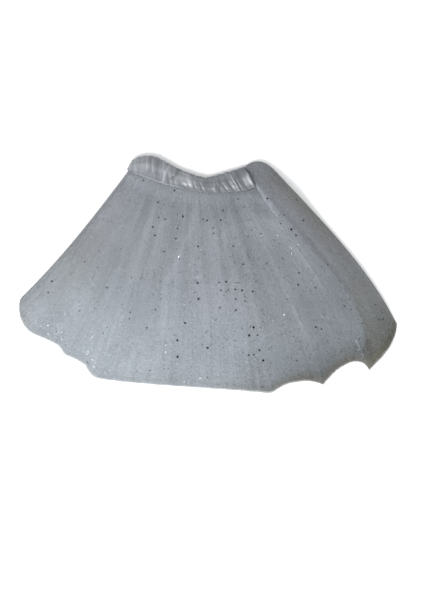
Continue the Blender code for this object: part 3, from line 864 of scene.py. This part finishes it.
def satin(name, dark, light):
    """Dense satin: the float threads run along the band and shine where it stands up, partly as a
    painted highlight, with painted shade in its creases. Painted shade darkens it near its top fold,
    its seam and towards the right; a painted highlight lightens the lower part of its right end, the
    back beyond it, and the edge where it turns under."""
    material, start = new_material(name)
    place = start.node("ShaderNodeUVMap", {"uv_map": "cloth"})
    space = start.node("ShaderNodeTexCoord", {}, {}, out="Object")
    along = start.node("ShaderNodeSeparateXYZ", {}, {0: place})
    edge = along.also(1)
    # Painted shade near the top fold, near the seam and towards the right, more in the middle rows there;
    # painted highlight low on the right end and round the back, and on the turned-under edge.
    shaded = edge.mapped(0.014, 0.026, 0.0, 0.16) + edge.mapped(0.0130, 0.003, 0.0, 0.36)
    middle = edge.mapped(0.003, 0.008, 0.0, 1.0) * edge.mapped(0.014, 0.019, 1.0, 0.0)
    shade_to_right = along.mapped(0.070, 0.110, 0.0, 0.24) + along.mapped(0.108, 0.135, 0.0, 0.24) * middle
    painted_highlight = along.mapped(0.179, 0.186, 0.0, 0.66) * edge.mapped(0.009, 0.018, 1.0, 0.0)
    painted_highlight = painted_highlight * edge.mapped(0.002, 0.007, 0.1, 1.0)
    painted_highlight = painted_highlight + edge.mapped(0.0020, 0.0008, 0.0, 0.27)
    threads = place.stretched(900.0, 5200.0, 1.0).noise(1.0)
    wrinkles = place.stretched(700.0, 70.0, 1.0).noise(1.0, 3.0)
    clouds = space.noise(60.0)
    fold = start.node("ShaderNodeAttribute", {"attribute_name": "fold"}, out="Fac")
    weave = (clouds - 0.5) * 0.7 + (threads - 0.5) * 0.3 + (wrinkles - 0.5) * 0.8
    # fold paints raised creases and gathers lighter, a painted highlight, and sunk creases darker, painted
    # shade.
    tone = 0.52 + fold * 420.0 + weave + painted_highlight - shaded - shade_to_right
    bump = {"Strength": 0.35, "Distance": 0.0005, "Height": wrinkles + threads * 0.12}
    surface = start.node(
        "ShaderNodeBsdfPrincipled",
        {},
        {
            "Base Color": tone.mix(dark, light),
            "Roughness": 0.26 + 0.12 * threads + 0.08 * clouds + edge.mapped(0.007, 0.001, 0.0, 0.40),
            "Normal": start.node("ShaderNodeBump", {}, bump),
            "Specular IOR Level": 0.7,
            "Coat Weight": 0.12,
            "Coat Roughness": 0.15,
        },
    )
    start.node("ShaderNodeOutputMaterial", {}, {"Surface": surface})
    return material


band.data.materials.append(satin("waistband_satin", rgb(92, 95, 100), rgb(150, 154, 159)))
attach(band, "root")
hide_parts("waistband")


# The seam's stitches
# One row of grey lockstitch along the lower edge of the band, front and back, holds the
# casing shut and the gathered nets in it. Each stitch sinks partly into the satin.

STITCH_LENGTH = 0.0021
STITCH_RADIUS = 0.00026
STITCHES = 54
STITCH_SIDES = 6
STITCH_RINGS = ((0.0, 0.25), (0.12, 0.8), (0.5, 1.0), (0.88, 0.8), (1.0, 0.25))  # along, reach
STITCH_STATION = 0.075  # how far up the band the row runs
places, faces = [], []
stitch_shares = (np.arange(STITCHES) + 0.5) / STITCHES * 0.96 + 0.02
for face_side in (1, -1):
    one = np.ones(STITCHES)
    rows = [
        band_surface(one, stitch_shares + shift, one * face_side, one * STITCH_STATION, 0 * one)[0]
        for shift in (-STITCH_LENGTH / 2 / BAND_WIDTH, STITCH_LENGTH / 2 / BAND_WIDTH)
    ]
    for start_at, end_at in zip(*rows):
        way = end_at - start_at
        side = np.cross(way, (0, 0, face_side))
        side = side / np.linalg.norm(side)
        for along, reach in STITCH_RINGS:
            sunk = 0.55 if face_side > 0 else 1.30
            middle = start_at + way * along + (0, 0, face_side * STITCH_RADIUS * (reach - sunk))
            for corner in range(STITCH_SIDES):
                angle = corner * 2 * math.pi / STITCH_SIDES
                swing = side * math.cos(angle) + np.array((0, 0, face_side)) * math.sin(angle)
                places.append(middle + swing * STITCH_RADIUS * reach)
        first = len(places) - STITCH_SIDES * len(STITCH_RINGS)
        last = len(places) - STITCH_SIDES
        for ring in range(first, last, STITCH_SIDES):
            for corner in range(STITCH_SIDES):
                a, b = ring + corner, ring + (corner + 1) % STITCH_SIDES
                faces.append((a, b, b + STITCH_SIDES, a + STITCH_SIDES))
        faces.append(tuple(range(first + STITCH_SIDES - 1, first - 1, -1)))
        faces.append(tuple(range(last, len(places))))
stitch_mesh = bpy.data.meshes.new("seam_stitches")
stitch_mesh.from_pydata([tuple(place) for place in places], [], faces)
stitch_mesh.shade_smooth()
stitches = bpy.data.objects.new("seam_stitches", stitch_mesh)
bpy.context.scene.collection.objects.link(stitches)
thread_paint, start = new_material("grey_thread")
space = start.node("ShaderNodeTexCoord", {}, {}, out="Object")
ply = space.noise(3200.0)
thread_look = {"Base Color": ply.mix(rgb(96, 98, 101), rgb(142, 145, 148)), "Roughness": 0.55 + 0.2 * ply}
surface = start.node("ShaderNodeBsdfPrincipled", {}, thread_look)
start.node("ShaderNodeOutputMaterial", {}, {"Surface": surface})
stitch_mesh.materials.append(thread_paint)
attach(stitches, "root")


# The table, the light and the camera
# A plain white table top under soft light, as from a window beyond the skirt's lower left, with
# the camera straight above.

floor_mesh = bpy.data.meshes.new("floor")
floor_corners = [(-3, -3, -0.0002), (3, -3, -0.0002), (3, 3, -0.0002), (-3, 3, -0.0002)]
floor_mesh.from_pydata(floor_corners, [], [(0, 1, 2, 3)])
floor = bpy.data.objects.new("floor", floor_mesh)
bpy.context.scene.collection.objects.link(floor)
floor_paint, start = new_material("floor_paint")
floor_look = {"Base Color": (0.95, 0.95, 0.95, 1), "Roughness": 0.7}
surface = start.node("ShaderNodeBsdfPrincipled", {}, floor_look)
start.node("ShaderNodeOutputMaterial", {}, {"Surface": surface})
floor_mesh.materials.append(floor_paint)

world = bpy.data.worlds.new("studio")
bpy.context.scene.world = world
world.use_nodes = True
sky = world.node_tree.nodes["Background"].inputs
sky["Color"].default_value = (0.98, 0.99, 1.0, 1)
sky["Strength"].default_value = 0.92
lamp = bpy.data.lights.new("window", "AREA")
lamp.energy = 10.0
lamp.size = 0.5
window = bpy.data.objects.new("window", lamp)
window.location = (-0.38, -0.47, 0.62)
window.rotation_euler = (Vector((0, 0, 0)) - window.location).to_track_quat("-Z", "Y").to_euler()
window.visible_camera = False
bpy.context.scene.collection.objects.link(window)

LENS = 85.0  # mm, as is the next
FILM_HEIGHT = 36  # the frame's long side
SEEN_HEIGHT = 0.840  # of the table, in the whole picture
AIM = (0.0112, -0.0361, 0.008)
lens = bpy.data.cameras.new("camera")
lens.lens = LENS
camera = bpy.data.objects.new("camera", lens)
camera.location = (AIM[0], AIM[1], AIM[2] + SEEN_HEIGHT * LENS / FILM_HEIGHT)
bpy.context.scene.collection.objects.link(camera)
bpy.context.scene.camera = camera
bpy.context.scene.view_settings.view_transform = "Standard"
